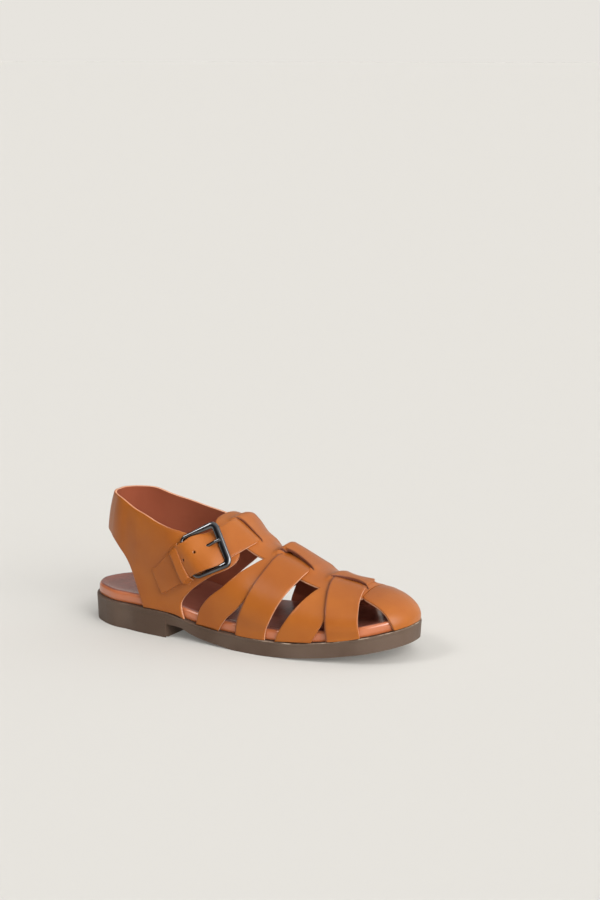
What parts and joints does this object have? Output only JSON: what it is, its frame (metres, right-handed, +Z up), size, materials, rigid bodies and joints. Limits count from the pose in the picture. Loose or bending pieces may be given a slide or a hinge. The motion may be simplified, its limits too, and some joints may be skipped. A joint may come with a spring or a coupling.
{
  "type": "fisherman sandal",
  "caption": "Right fisherman sandal with interlaced leather straps, closed toe cap, heel band, buckled instep strap, padded insole and a moulded sole with a low stepped heel.",
  "frame": {"origin": "middle of the bounds in plan, at the height of the floor that the sole stands on", "axes": "+X from the heel to the toe, +Y to the medial side, +Z up from the floor"},
  "size_m": [0.2621, 0.1008, 0.0959],
  "materials": {
    "outsole": "matte moulded",
    "insole": "smooth, slightly glossy",
    "upper": "smooth with a soft sheen",
    "buckle": "polished gunmetal"
  },
  "bodies": {
    "root": {"outsole": "outsole", "insole": "insole", "upper": "upper", "keeper_loop": "upper", "buckle_frame": "buckle", "buckle_prong": "buckle"}
  },
  "joints": []
}
